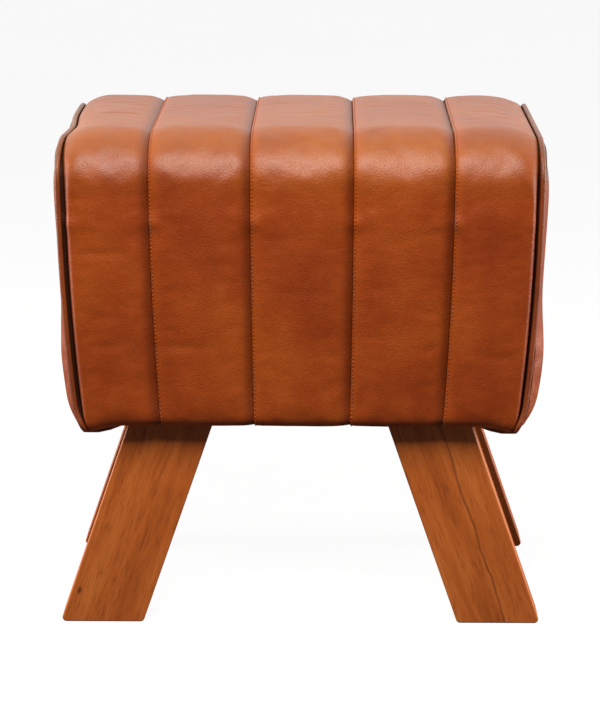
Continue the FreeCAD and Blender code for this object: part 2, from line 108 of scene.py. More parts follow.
def outline(along):
    """The place (y, z) and the outward direction at a length along the outline."""
    if along > HALF_PATH:
        y, z, out_y, out_z = outline(PATH - along)
        return -y, z, -out_y, out_z
    y, z, heading = -HEM_END, UNDER, 0.0
    for length, radius in STRETCHES:
        step = min(along, length)
        along -= step
        if radius:
            turned = heading + step / radius
            y += radius * (math.sin(heading) - math.sin(turned))
            z += radius * (math.cos(heading) - math.cos(turned))
            heading = turned
        else:
            y -= step * math.cos(heading)
            z += step * math.sin(heading)
        if along <= 0:
            break
    return y, z, -math.sin(heading), -math.cos(heading)


def smooth(value, start, end):
    """From 0 at start to 1 at end, smoothly."""
    t = min(max((value - start) / (end - start), 0), 1)
    return t * t * (3 - 2 * t)


def lumps(x, along, size, seed):
    """Soft lumps between -1 and 1, about a size apart."""
    return noise.noise(Vector((x / size, along / size, seed)))


def topness(along):
    """0 on the faces, 1 on the top."""
    return smooth(min(along, PATH - along), FACE_END - 20 * MM, TOP_START - 10 * MM)


def lowness(along):
    """1 under the body, 0 on the faces and the top."""
    return 1 - smooth(min(along, PATH - along), HEM, FACE_START + 14 * MM)


# The cover's own shape: its width at the top as a share of the CAD width, what it loses below,
# how far its lower corners round in and hang, how far the middle moves along x, and the left edge's waist.
TOP_WIDTH = 1.015
TAPER = 0.064
CORNER_IN = 4.5 * MM
CORNER_HIGH = 20 * MM
EDGE_SAG = 1.6 * MM
CORNER_SAG = 5.5 * MM
SAG_HIGH = 45 * MM
DRIFT = 1.9 * MM
WAIST_IN = 4.5 * MM
WAIST_Y = -45 * MM
WAIST_LONG = 50 * MM


def narrowing(z):
    """The cover is drawn in a little towards its lower edge."""
    return TOP_WIDTH - TAPER * (1 - min(max((z - UNDER) / (CROWN - UNDER), 0), 1)) ** 2.3


def tuck_in(x, z):
    """The lower corners of the ends are rounded in towards the middle."""
    low = max(1 - (z - UNDER) / CORNER_HIGH, 0)
    return x - math.copysign(CORNER_IN * min(low, 1.3) ** 2 * (abs(x) / PIPE_X) ** 9, x)


def waist(x, y, z):
    """The left edge of the seat is drawn in over the front of the top."""
    near = math.exp(-((y - WAIST_Y) / WAIST_LONG) ** 2) * smooth(z, CROWN - 60 * MM, CROWN - 15 * MM)
    return WAIST_IN * near * smooth(-x, PIPE_X - 90 * MM, PIPE_X)


def placed(x, along, height):
    """The point at x, a length along the outline and a height above it, with the cover's drift and sag."""
    y, z, out_y, out_z = outline(min(max(along, 0), PATH))
    y += out_y * height
    z += out_z * height
    near_end = smooth(abs(x), PIPE_X - 42 * MM, PIPE_X)
    z -= (EDGE_SAG + CORNER_SAG * near_end) * (1 - smooth(z, UNDER, UNDER + SAG_HIGH))
    drift = DRIFT * (1 - min(abs(x) / PIPE_X, 1) ** 4)
    return Vector((tuck_in(x, z) * narrowing(z) + drift + waist(x, y, z), y, z))


# ---- Channels ----

STITCH_PLACE = 1.4 * MM


def lap_side(distance):
    """How far the panel lies under its crown beside the seam that it laps over."""
    return 1.3 * MM * math.exp(-distance / (9 * MM)) + 1.2 * MM * math.exp(-(distance / (3.2 * MM)) ** 1.5)


def tuck_side(distance):
    """The same beside the seam that it is tucked under."""
    return 1.4 * MM * math.exp(-distance / (13 * MM)) + 3.4 * MM * math.exp(-(distance / (6.2 * MM)) ** 1.6)


# How wide the outer panels' edges roll over beside the piping, and how deep in millimetres they end.
FACE_ROLL = 4.5 * MM
LEFT_TOP_ROLL = 26 * MM
RIGHT_TOP_ROLL = 44 * MM
FACE_EDGE = 9
TOP_EDGE_GAIN = 2.5
LOW_EDGE_LOSS = 7


def end_side(distance, along, side):
    """The same beside the piping, where the panel rolls over."""
    top, low = topness(along), lowness(along)
    top_roll = LEFT_TOP_ROLL if side < 0 else RIGHT_TOP_ROLL
    width = FACE_ROLL + (top_roll - FACE_ROLL) * top
    depth = (FACE_EDGE + TOP_EDGE_GAIN * top - LOW_EDGE_LOSS * low) * MM
    reach = min(distance / width, 1)
    return depth * (1 - math.sqrt(max(1 - (1 - reach) ** 2, 0)))


PUCKER_REACH = 12 * MM
PUCKER_SIZE = 7 * MM


def pucker(distance, along, seed):
    """Small gathers that run out from a seam, strongest just under the shoulders."""
    from_end = min(along, PATH - along)
    shoulder = smooth(from_end, FACE_END - 70 * MM, FACE_END - 10 * MM)
    shoulder *= 1 - smooth(from_end, FACE_END, FACE_END + 50 * MM)
    strength = (0.16 + 0.5 * shoulder) * MM * math.exp(-distance / PUCKER_REACH)
    return strength * lumps(seed * 7.3, along, PUCKER_SIZE, distance / (40 * MM) + seed)


KNUCKLE_HIGH = 2.1 * MM
KNUCKLE_DROP = 36 * MM
KNUCKLE_LONG = 6 * MM
KNUCKLE_REACH = 8 * MM


def knuckle(distance, along):
    """The small roll that stands up beside a seam just under each shoulder."""
    up = (min(along, PATH - along) - FACE_END + KNUCKLE_DROP) / KNUCKLE_LONG
    return KNUCKLE_HIGH * math.exp(-up ** 2 - (distance / KNUCKLE_REACH) ** 2)


FOLD_DEEP = 1.1 * MM
FOLD_WIDE = 11 * MM
FOLD_LONG = 70 * MM
FOLD_FADE = 48 * MM
FOLD_SEED = 4.7


def hem_gathers(x, along):
    """Small folds that run up the faces from the lower edge, where the cover is pulled under."""
    from_end = min(along, PATH - along)
    near = smooth(from_end, HEM, FACE_START) * (1 - smooth(from_end, FACE_START, FACE_START + FOLD_FADE))
    fold = noise.noise(Vector((x / FOLD_WIDE, from_end / FOLD_LONG, FOLD_SEED)))
    return FOLD_DEEP * near * max(fold, -0.4)


# Distances of a panel's first columns from its seam, and the extra depth of the turned edge there.
LAP_COLUMNS = ((-0.2, 1.7), (-0.15, 0.8), (0.3, 0.15), (1.1, 0), (2.2, 0), (3.8, 0), (6, 0), (9, 0))
TUCK_COLUMNS = ((-0.5, 1.6), (0.1, 0.5), (0.9, 0), (2.0, 0), (3.6, 0), (5.8, 0), (9, 0))
END_COLUMNS = ((-8, 4.2), (-3, 3.8), (-0.4, 2.6), (0, 0.6), (0.25, 0), (0.9, 0), (2, 0), (3.5, 0), (5.5, 0),
               (8, 0), (11.5, 0))
CHANNEL_END = PIPE_X - PIPE_RADIUS - 0.4 * MM
COLUMN_STEP = 4.6 * MM
ROW_STEP = 4.4 * MM


def panel_columns(number):
    """The x of each column of a panel, with its turned edge's extra depth."""
    left = -CHANNEL_END if number == 1 else SEAMS[number - 2]
    right = CHANNEL_END if number == 5 else SEAMS[number - 1]
    first = END_COLUMNS if number == 1 else LAP_COLUMNS
    last = END_COLUMNS if number == 5 else TUCK_COLUMNS
    columns = [(left + offset * MM, depth * MM) for offset, depth in first]
    start, end = columns[-1][0], right - last[-1][0] * MM
    count = round((end - start) / COLUMN_STEP)
    columns += [(start + (end - start) * step / count, 0) for step in range(1, count)]
    columns += [(right - offset * MM, depth * MM) for offset, depth in reversed(last)]
    return left, right, columns


def seam_depth(along):
    """Seams are nearly level with the channels where the cover turns under."""
    return 0.3 + 0.7 * smooth(min(along, PATH - along), HEM + 8 * MM, HEM + 50 * MM)


LEFT_GROOVE = 3.2
RIGHT_GROOVE = 2.0


def groove(x, along):
    """On the faces the panels stop short of the piping, which leaves a groove. Its shade is also painted near
    black on the panels' turned edges. They meet on the top.
    """
    gap = (LEFT_GROOVE if x < 0 else RIGHT_GROOVE) * MM * (1 - topness(along)) * (1 - lowness(along))
    return -math.copysign(gap, x) * smooth(abs(x), CHANNEL_END - 40 * MM, CHANNEL_END)


SWELL = 0.6
SWELL_SIZE = 55 * MM
SEAM_MARGIN = 20 * MM
FOLD_MARGIN = 12 * MM


def panel_height(number, left, right, x, along):
    """Height of a channel above the outline, negative beside its seams."""
    from_left, from_right = max(x - left, 0), max(right - x, 0)
    seams = seam_depth(along)
    drop = end_side(from_left, along, -1) if number == 1 else seams * lap_side(from_left)
    drop += end_side(from_right, along, 1) if number == 5 else seams * tuck_side(from_right)
    height = -drop - pucker(from_left, along, number) - pucker(from_right, along, number + 10)
    height -= hem_gathers(x, along) * min(from_left, from_right, FOLD_MARGIN) / FOLD_MARGIN
    height += knuckle(from_left, along) + 0.5 * knuckle(from_right, along)
    inside = min(from_left, from_right) / SEAM_MARGIN
    swell = lumps(x, along, SWELL_SIZE, number) * SWELL * MM * min(inside, 1)
    return height + swell


def seam_height(number, along):
    """Height of the stitched lip to the right of a seam."""
    lip = knuckle(STITCH_PLACE, along) - pucker(STITCH_PLACE, along, number + 1)
    return lip - seam_depth(along) * lap_side(STITCH_PLACE)


def rows():
    """The lengths along the outline of the cover's rows of points."""
    count = round(PATH / ROW_STEP)
    return [PATH * step / count for step in range(count + 1)]


# ---- Meshes ----

def new_object(name, points, faces, look, hollow=None):
    """A smooth mesh object. hollow is how deep in a seam's painted shade each point lies. It is highest in
    the groove by the piping, and below 0 on a lapped lip, which is painted lighter.
    """
    mesh = bpy.data.meshes.new(name)
    mesh.from_pydata([tuple(point) for point in points], [], faces)
    mesh.polygons.foreach_set("use_smooth", [True] * len(mesh.polygons))
    if hollow is not None:
        mesh.attributes.new("hollow", "FLOAT", "POINT").data.foreach_set("value", hollow)
    mesh.materials.append(look)
    mesh.update()
    piece = bpy.data.objects.new(name, mesh)
    bpy.context.scene.collection.objects.link(piece)
    return piece


def grid_faces(wide, long, start=0):
    """Quads of a grid of points listed row by row."""
    faces = []
    for row in range(long - 1):
        for column in range(wide - 1):
            corner = start + row * wide + column
            faces.append((corner, corner + 1, corner + wide + 1, corner + wide))
    return faces


def hide_thickness(piece):
    """Give a surface the leather's thickness and round it off."""
    shell = piece.modifiers.new("thickness", "SOLIDIFY")
    shell.thickness = HIDE
    shell.offset = -1
    finer = piece.modifiers.new("finer", "SUBSURF")
    finer.levels = finer.render_levels = 1


CLOTH_FRAMES = 20
CLOTH_SLACK = 0.006
CLOTH_PRESSURE = 4
CLOTH_RISE = 1.4 * MM
CLOTH_DIP = 1.0 * MM


def stretch_over(piece, held):
    """Make a piece cloth that is held along its seams and hems and cut a little slack."""
    seams = piece.vertex_groups.new(name="held")
    for index, weight in enumerate(held):
        seams.add([index], weight, "REPLACE")
    cloth = piece.modifiers.new("cloth", "CLOTH")
    cloth.settings.vertex_group_mass = "held"
    cloth.settings.use_pressure = True
    cloth.settings.uniform_pressure_force = CLOTH_PRESSURE
    cloth.settings.effector_weights.gravity = 0
    cloth.settings.shrink_min = -CLOTH_SLACK
    cloth.settings.quality = 5
    cloth.point_cache.frame_end = CLOTH_FRAMES


def settle(pieces):
    """Let the leather swell and pucker over its filling, and keep what it does within close limits."""
    for step in range(1, CLOTH_FRAMES + 1):
        bpy.context.scene.frame_set(step)
    seen = bpy.context.evaluated_depsgraph_get()
    for piece in pieces:
        count = 3 * len(piece.data.vertices)
        before, after, normals = np.empty(count), np.empty(count), np.empty(count)
        piece.data.vertices.foreach_get("co", before)
        piece.data.vertices.foreach_get("normal", normals)
        swollen = piece.evaluated_get(seen)
        swollen.to_mesh().vertices.foreach_get("co", after)
        swollen.to_mesh_clear()
        normals = normals.reshape(-1, 3)
        rise = ((after - before).reshape(-1, 3) * normals).sum(axis=1)
        limit = np.where(rise > 0, CLOTH_RISE, CLOTH_DIP)
        rise = limit * np.tanh(rise / limit)
        piece.modifiers.remove(piece.modifiers["cloth"])
        piece.data.vertices.foreach_set("co", before + (normals * rise[:, None]).ravel())
        piece.data.update()
    bpy.context.scene.frame_set(1)


def channel_panel(number, look):
    """One channel of the cover, from the front hem over the top to the rear hem."""
    left, right, columns = panel_columns(number)
    points, hollow, held = [], [], []
    for along in rows():
        for x, depth in columns:
            height = panel_height(number, left, right, x, along)
            turned = depth * (1 - 0.5 * lowness(along))
            points.append(placed(x + groove(x, along), along, height - turned))
            # hollow carries painted light: shade on a seam's tucked side, near-black shade in the groove by
            # the piping, and a lighter lapped lip.
            lap = math.exp(-(abs(x - left) / (7 * MM)) ** 2) if number > 1 else 0
            tuck = math.exp(-(abs(right - x) / (7.5 * MM)) ** 2) if number < 5 else 0
            at_pipe = (number == 1 and x < left + 0.1 * MM) or (number == 5 and x > right - 0.1 * MM)
            hollow.append(1.6 if at_pipe else tuck - 0.4 * lap)
            from_hem = min(along, PATH - along)
            free = smooth(min(x - left, right - x), 5 * MM, 16 * MM)
            free *= smooth(from_hem, HEM, FACE_START + 10 * MM)
            held.append(1 - free)
    faces = grid_faces(len(columns), len(rows()))
    piece = new_object(f"channel_{number}", points, faces, look, hollow)
    stretch_over(piece, held)
    return piece


def tube(name, path, radius, look, sides=12):
    """A round tube along a path, closed at both ends."""
    points, faces = [], []
    across = None
    for index, point in enumerate(path):
        before, after = path[max(index - 1, 0)], path[min(index + 1, len(path) - 1)]
        along = (after - before).normalized()
        across = along.orthogonal() if across is None else across - along * across.dot(along)
        across.normalize()
        up = along.cross(across)
        for side in range(sides):
            angle = 2 * math.pi * side / sides
            points.append(point + radius * (across * math.cos(angle) + up * math.sin(angle)))
    for ring in range(len(path) - 1):
        for side in range(sides):
            a, b = ring * sides + side, ring * sides + (side + 1) % sides
            faces.append((a, b, b + sides, a + sides))
    faces.append(tuple(reversed(range(sides))))
    faces.append(tuple(range(len(points) - sides, len(points))))
    return new_object(name, points, faces, look)


# ---- Piping and end covers ----

PIPE_DEPTH = 7
TOP_PIPE_GAIN = 2.5
LOW_PIPE_LOSS = 5.5
# The piping's tail under the body: steps along the seat, towards its middle and up, in millimetres.
PIPE_TAIL = ((4, 2, -0.6), (12, 3, -0.8), (22, 4, 1.2), (31, 5, 4.5))


def pipe_depth(along):
    """How far the piping's centre lies under the outline."""
    return (PIPE_DEPTH + TOP_PIPE_GAIN * topness(along) - LOW_PIPE_LOSS * lowness(along)) * MM


def pipe_path(side):
    """The piping's centre line, with both ends turned in under the body."""
    path = [placed(side * PIPE_X, along, -pipe_depth(along)) for along in rows() if HEM < along < PATH - HEM]
    for end, order in ((path[0], 0), (path[-1], -1)):
        y_side = math.copysign(1, end.y)
        inward = [end + Vector((-side * x * MM, -y_side * y * MM, z * MM)) for x, y, z in PIPE_TAIL]
        path = inward[::-1] + path if order == 0 else path + inward
    return path


END_GRID = 56
RIM_STEPS = 80
END_START = 0.6 * MM
END_SAG = 6 * MM


def rim_point(along, inset):
    """A point (y, z) of an end piece's rim, inset from the piping's centre."""
    y, z, out_y, out_z = outline(along)
    inset += pipe_depth(along)
    return Vector((y - out_y * inset, z - out_z * inset))


def clustered(step):
    """0 to 1, with steps that are finer near both ends."""
    t = step / (END_GRID - 1)
    return t - 0.14 * math.sin(2 * math.pi * t)


def end_rim(inset):
    """The rim's four sides as functions of 0 to 1: front and rear going up, bottom and top going back."""
    low = (HEM + FACE_START) / 2
    high = (FACE_END + TOP_START) / 2
    hem_point = rim_point(0, inset)

    def front(t):
        return rim_point(low + (high - low) * t, inset)

    def rear(t):
        return front(t) * Vector((-1, 1))

    def top(t):
        return rim_point(high + (PATH - 2 * high) * t, inset)

    def bottom(t):
        if t > 0.5:
            return bottom(1 - t) * Vector((-1, 1))
        place = low - 2 * t * (low + HEM_END)
        return rim_point(place, inset) if place >= 0 else Vector((hem_point.x - place, hem_point.y))

    return front, rear, bottom, top


# How far each end cover stands out at mid-height, what it gains near the top, and what it gains low down.
LEFT_CROWN = (6.3 * MM, 3.5 * MM, 4.0 * MM)
RIGHT_CROWN = (9.5 * MM, 1.5 * MM, 5.5 * MM)


END_ROLL = 20 * MM
END_DOME = 120 * MM


def end_crown(side, y, z, distance):
    """How far an end cover stands out at a place, by its distance from the rim."""
    base, upper, lower = RIGHT_CROWN if side > 0 else LEFT_CROWN
    up = z - UNDER
    belly = math.exp(-((up - 45 * MM) / (45 * MM)) ** 2)
    reach = base + upper * smooth(up, 150 * MM, 215 * MM) + lower * belly
    reach *= 1 - 0.35 * smooth(z, CROWN - 40 * MM, CROWN)
    share = 0.12 + 0.5 * (1 - smooth(up, 60 * MM, 120 * MM))
    roll = math.sqrt(1 - (1 - min(distance / END_ROLL, 1)) ** 2)
    dome = 1 - (1 - min(distance / END_DOME, 1)) ** 2.4
    ripple = 0.7 * MM * lumps(y, z, 60 * MM, side) * smooth(distance, 0, 30 * MM)
    return reach * (share * roll + (1 - share) * dome) + ripple


def end_points(side, inset, behind):
    """Points of an end piece, a domed patch inside its rim, moved in by behind."""
    front, rear, bottom, top = end_rim(inset)
    steps = [clustered(step) for step in range(END_GRID)]
    sides = (front, rear, bottom, top)
    rim = np.array([tuple(edge(step / RIM_STEPS)) for edge in sides for step in range(RIM_STEPS + 1)])
    points = []
    for v in steps:
        for u in steps:
            edges = front(v) * (1 - u) + rear(v) * u + bottom(u) * (1 - v) + top(u) * v
            corners = (front(0) * (1 - u) + rear(0) * u) * (1 - v) + (front(1) * (1 - u) + rear(1) * u) * v
            y, z = edges - corners
            distance = float(np.sqrt(((rim - (y, z)) ** 2).sum(axis=1)).min())
            x = side * (PIPE_X + END_START + end_crown(side, y, z, distance) - behind)
            sag = END_SAG * (1 - smooth(z, UNDER, UNDER + SAG_HIGH))
            points.append(Vector((tuck_in(x, z - sag) * narrowing(z) + waist(x, y, z), y, z - sag)))
    return points


COVER_RIM = 1 * MM


def end_cover(side_name, side, look):
    """The crowned panel that closes an end, held at its rim."""
    points = end_points(side, COVER_RIM, 0)
    faces = grid_faces(END_GRID, END_GRID)
    if side < 0:
        faces = [tuple(reversed(face)) for face in faces]
    piece = new_object(f"end_panel_{side_name}", points, faces, look)
    edge = [min(step, END_GRID - 1 - step) for step in range(END_GRID)]
    stretch_over(piece, [1 - smooth(min(row, column), 2, 7) for row in edge for column in edge])
    return piece


# ---- Stitches ----

STITCH_PITCH = 3.5 * MM
STITCH_LONG = 2.5 * MM
THREAD = 0.42 * MM
# A stitch's rings: the place along it, the width and the lift, as shares of its length and of the thread.
STITCH_RINGS = ((-0.5, 0.0, -0.5), (-0.46, 0.6, -0.3), (-0.3, 1.0, 0.2),
                (0.3, 1.0, 0.2), (0.46, 0.6, -0.3), (0.5, 0.0, -0.5))


def stitches(number, look):
    """Threads over the lapped edge of a seam, each a small bead that dips at both ends."""
    points, faces = [], []
    x = SEAMS[number - 1] + STITCH_PLACE
    sides = 6
    count = int((PATH - 2 * HEM) / STITCH_PITCH)
    for stitch in range(count):
        centre = HEM + (stitch + 0.5) * (PATH - 2 * HEM) / count
        start = len(points)
        for part, width, lift in STITCH_RINGS:
            along = centre + part * STITCH_LONG
            height = seam_height(number, along) + (lift + 0.5) * THREAD
            for side in range(sides):
                angle = 2 * math.pi * side / sides
                reach = THREAD * max(width, 0.15)
                points.append(placed(x + reach * math.cos(angle), along, height + reach * math.sin(angle)))
        for ring in range(len(STITCH_RINGS) - 1):
            for side in range(sides):
                a, b = start + ring * sides + side, start + ring * sides + (side + 1) % sides
                faces.append((a, b, b + sides, a + sides))
        faces.append(tuple(start + side for side in range(sides)))
        last = start + (len(STITCH_RINGS) - 1) * sides
        faces.append(tuple(last + side for side in reversed(range(sides))))
    return new_object(f"seam_stitches_{number}", points, faces, look)


# ---- Foam ----

def foam_between(name, outer, inner, wide, look):
    """A closed block of foam between two grids of the same size."""
    long = len(outer) // wide
    count = len(outer)
    faces = grid_faces(wide, long) + [tuple(reversed(face)) for face in grid_faces(wide, long, count)]
    ring = list(range(wide))
    ring += [row * wide + wide - 1 for row in range(1, long)]
    ring += [(long - 1) * wide + column for column in range(wide - 2, -1, -1)]
    ring += [row * wide for row in range(long - 2, 0, -1)]
    for a, b in zip(ring, ring[1:] + ring[:1]):
        faces.append((b, a, a + count, b + count))
    return new_object(name, outer + inner, faces, look)


FOAM_DIP = 2.6 * MM
FOAM_DIP_WIDE = 5 * MM
FOAM_STEPS = 84
FOAM_ROW = 6 * MM
FOAM_GAP = HIDE + 0.8 * MM


def cover_height(x, along):
    """Height of the channels' surface at any x, for the foam beneath, which dips well under each seam."""
    number = 1 + sum(x > seam for seam in SEAMS)
    left, right, _ = panel_columns(number)
    from_seam = min(abs(x - seam) for seam in SEAMS)
    dip = FOAM_DIP * math.exp(-from_seam / FOAM_DIP_WIDE)
    return panel_height(number, left, right, x, along) - dip


def foam_columns():
    """The x of each column of a foam slab."""
    return [BOX_END * (2 * step / FOAM_STEPS - 1) for step in range(FOAM_STEPS + 1)]


def foam_slab(name, start, end, look):
    """Foam under the cover between two lengths of the outline, down to the top board or in to a panel."""
    xs = foam_columns()
    count = max(round((end - start) / FOAM_ROW), 4)
    outer, inner = [], []
    for step in range(count + 1):
        along = start + (end - start) * step / count
        for x in xs:
            point = placed(x, along, cover_height(x, along) - FOAM_GAP)
            point.x = min(max(point.x, -BOX_END), BOX_END)
            outer.append(point)
            if name == "foam_loaf":
                inner.append(Vector((point.x, point.y, BOX_HIGH)))
            else:
                inner.append(Vector((point.x, math.copysign(BOARD_FACE, point.y), point.z)))
    return foam_between(name, outer, inner, len(xs), look)


FOAM_RIM = 9 * MM
FOAM_BEHIND = 2.4 * MM


def foam_end(side_name, side, look):
    """The foam behind an end panel, out from the end board."""
    outer = end_points(side, FOAM_RIM, FOAM_BEHIND)
    inner = [Vector((side * BOX_END, point.y, point.z)) for point in outer]
    if side < 0:
        return foam_between(f"foam_dome_{side_name}", inner, outer, END_GRID, look)
    return foam_between(f"foam_dome_{side_name}", outer, inner, END_GRID, look)


# ---- Materials ----

class Look:
    """Builds a material node by node."""

    def __init__(self, name):
        self.material = bpy.data.materials.new(name)
        self.material.use_nodes = True
        self.nodes = self.material.node_tree.nodes
        self.links = self.material.node_tree.links
        self.shader = self.nodes["Principled BSDF"]
        self.place = self.node("TexCoord").outputs["Object"]

    def feed(self, socket, value):
        if isinstance(value, bpy.types.NodeSocket):
            self.links.new(value, socket)
        else:
            socket.default_value = value

    def node(self, kind, inputs=None, **settings):
        added = self.nodes.new("ShaderNode" + kind)
        for name, value in settings.items():
            setattr(added, name, value)
        for name, value in (inputs or {}).items():
            self.feed(added.inputs[name], value)
        return added

    def math(self, operation, *values):
        added = self.node("Math", operation=operation)
        for socket, value in zip(added.inputs, values):
            self.feed(socket, value)
        return added.outputs[0]

    def noise(self, scale, detail=3.0, roughness=0.55, place=None, distortion=0.0):
        inputs = {"Vector": place or self.place, "Scale": scale, "Detail": detail, "Roughness": roughness,
                  "Distortion": distortion}
        return self.node("TexNoise", inputs).outputs[0]

    def cells(self, scale, place=None, feature="F1"):
        inputs = {"Vector": place or self.place, "Scale": scale}
        return self.node("TexVoronoi", inputs, feature=feature).outputs[0]

    def scaled(self, size, turn=(0, 0, 0), shift=(0, 0, 0)):
        inputs = {"Vector": self.place, "Scale": size, "Rotation": turn, "Location": shift}
        return self.node("Mapping", inputs).outputs[0]

    def range(self, value, low, high, to_low=0.0, to_high=1.0):
        inputs = {"Value": value, "From Min": low, "From Max": high, "To Min": to_low, "To Max": to_high}
        return self.node("MapRange", inputs).outputs[0]

    def ramp(self, value, *stops):
        added = self.node("ValToRGB", {"Fac": value})
        band = added.color_ramp
        while len(band.elements) < len(stops):
            band.elements.new(1)
        for element, (position, colour) in zip(band.elements, stops):
            element.position = position
            element.color = (*colour, 1)
        return added.outputs[0]

    def blend(self, factor, first, second, mode="MIX"):
        added = self.node("Mix", data_type="RGBA", blend_type=mode)
        self.feed(added.inputs[0], factor)
        for socket, value in ((added.inputs[6], first), (added.inputs[7], second)):
            self.feed(socket, (*value, 1) if isinstance(value, tuple) else value)
        return added.outputs[2]

    def attribute(self, name):
        return self.node("Attribute", attribute_name=name).outputs["Fac"]

    def bump(self, height, strength, distance, normal=None):
        inputs = {"Height": height, "Strength": strength, "Distance": distance}
        if normal is not None:
            inputs["Normal"] = normal
        return self.node("Bump", inputs).outputs[0]

    def finish(self, **inputs):
        """Set the shader's sockets. A name's underscores stand for spaces."""
        for name, value in inputs.items():
            self.feed(self.shader.inputs[name.replace("_", " ")], value)
        return self.material


def leather_look(name, dark, mid, light, gathered=False):
    """Stained and polished leather, with fine gathers under the shoulders on the gathered channels. The top
    is painted paler and less red for its bright light. On the gathered channels, painted shade darkens the
    seams' valleys and the grooves by the piping, and the lapped lips are painted lighter, partly as a
    highlight.
    """
    look = Look(name)
    patches = look.noise(8, 3, 0.5, distortion=0.3)
    mottle = look.noise(38, 5, 0.6)
    tone = look.math("ADD", look.math("MULTIPLY", patches, 0.6), look.math("MULTIPLY", mottle, 0.4))
    colour = look.ramp(tone, (0.33, dark), (0.5, mid), (0.67, light))
    pores = look.cells(900)
    grain = look.noise(750, 3, 0.6)
    colour = look.blend(look.range(grain, 0.35, 0.55, 0.3, 0.0), colour, dark)
    height_up = look.node("SeparateXYZ", {"Vector": look.place}).outputs["Z"]
    # Painted light: the top is tinted paler and less red, standing in for the bright light that falls on it.
    painted_top_light = look.blend(1.0, colour, (0.78, 1.18, 1.6), "MULTIPLY")
    colour = look.blend(look.range(height_up, CROWN - 55 * MM, CROWN - 12 * MM), colour, painted_top_light)
    if gathered:
        hollow = look.attribute("hollow")
        # Painted shade: the seam's tucked side is darkened as the shade in its valley, and partly as the
        # darker finish in the creases.
        shaded = tuple(0.35 * part for part in dark)
        pulled_lip_and_highlight = tuple(1.15 * part for part in light)
        colour = look.blend(look.range(hollow, 0.1, 1.0, 0.0, 0.68), colour, shaded)
        # Painted shade: the turned edge in the groove by the piping is coloured near black.
        colour = look.blend(look.range(hollow, 1.0, 1.5, 0.0, 0.9), colour, (0.03, 0.008, 0.003))
        # The lapped lip beside a seam is painted lighter, partly as the paler pulled leather and partly as a
        # painted highlight.
        colour = look.blend(look.range(hollow, -0.05, -0.4, 0.0, 0.3), colour, pulled_lip_and_highlight)
    height = look.math("ADD", look.math("MULTIPLY", pores, 0.7), grain)
    creases = look.noise(260, 5, 0.65, distortion=0.8)
    wide = look.bump(look.noise(45, 3, 0.5, distortion=1.0), 0.12, 0.003)
    soft = look.bump(creases, 0.2, 0.0008, wide)
    if gathered:
        band = look.math("MULTIPLY", look.range(height_up, CROWN - 92 * MM, CROWN - 80 * MM),
                         look.range(height_up, CROWN - 55 * MM, CROWN - 68 * MM))
        gathers = look.noise(230, 2, 0.5, look.scaled((1, 1, 0.16)), 0.6)
        soft = look.bump(look.math("MULTIPLY", gathers, band), 0.45, 0.0012, soft)
    normal = look.bump(height, 0.5, 0.0005, soft)
    roughness = look.range(look.math("ADD", grain, look.math("MULTIPLY", mottle, 0.6)), 0.5, 1.1, 0.40, 0.52)
    return look.finish(Base_Color=colour, Roughness=roughness, Normal=normal, IOR=1.48)


def wood_look(name, lean, seed, streak=None, knot=None):
    """Planed and stained hardwood, its grain along a leg that leans by an angle about Y.

    streak is a dark wavy line's place across the grain, and knot a pin knot's place (across, along).
    """
    look = Look(name)
    turned = look.scaled((1, 1, 1), (0, lean, 0), (seed, seed * 0.7, seed * 0.3))

    def along_grain(shorten):
        return look.node("Mapping", {"Vector": turned, "Scale": (1, 1, shorten)}).outputs[0]

    bands = look.noise(26, 3, 0.5, along_grain(0.16), 0.6)
    streaks = look.noise(110, 4, 0.6, along_grain(0.10), 0.5)
    flecks = look.noise(520, 4, 0.65, along_grain(0.12))
    tone = look.math("ADD", look.math("MULTIPLY", bands, 0.45), look.math("MULTIPLY", streaks, 0.35))
    tone = look.math("ADD", tone, look.math("MULTIPLY", flecks, 0.2))
    deep, middle, pale = (0.40, 0.080, 0.008), (0.56, 0.126, 0.017), (0.68, 0.18, 0.032)
    colour = look.ramp(tone, (0.38, deep), (0.5, middle), (0.62, pale))
    pores = look.range(flecks, 0.34, 0.44, 0.3, 0.0)
    colour = look.blend(pores, colour, (0.16, 0.036, 0.008))
    parts = look.node("SeparateXYZ", {"Vector": look.scaled((1, 1, 1), (0, lean, 0))}).outputs
    if streak is not None:
        wave = look.noise(16, 2, 0.5, look.node("Mapping", {"Vector": turned, "Scale": (0, 0, 1)}).outputs[0])
        line = look.math("MULTIPLY_ADD", look.math("SUBTRACT", wave, 0.5), 16 * MM, parts["X"])
        off = look.math("ABSOLUTE", look.math("SUBTRACT", line, streak))
        colour = look.blend(look.range(off, 0.2 * MM, 1.5 * MM, 0.62, 0.0), colour, (0.12, 0.024, 0.004))
    if knot is not None:
        across = look.math("SUBTRACT", parts["X"], knot[0])
        along = look.math("MULTIPLY", look.math("SUBTRACT", parts["Z"], knot[1]), 0.5)
        far = look.math("SQRT", look.math("ADD", look.math("POWER", across, 2), look.math("POWER", along, 2)))
        colour = look.blend(look.range(far, 0.8 * MM, 2.6 * MM, 0.8, 0.0), colour, (0.08, 0.016, 0.004))
    normal = look.bump(look.math("ADD", flecks, look.math("MULTIPLY", streaks, 0.5)), 0.2, 0.0004)
    roughness = look.range(flecks, 0.3, 0.7, 0.5, 0.4)
    return look.finish(Base_Color=colour, Roughness=roughness, Normal=normal, IOR=1.5)


def plain_wood_look(name, pale, deep, stretch):
    look = Look(name)
    grain = look.noise(60, 4, 0.6, look.scaled(stretch))
    colour = look.ramp(grain, (0.35, deep), (0.65, pale))
    return look.finish(Base_Color=colour, Roughness=0.7, Normal=look.bump(grain, 0.3, 0.0006))


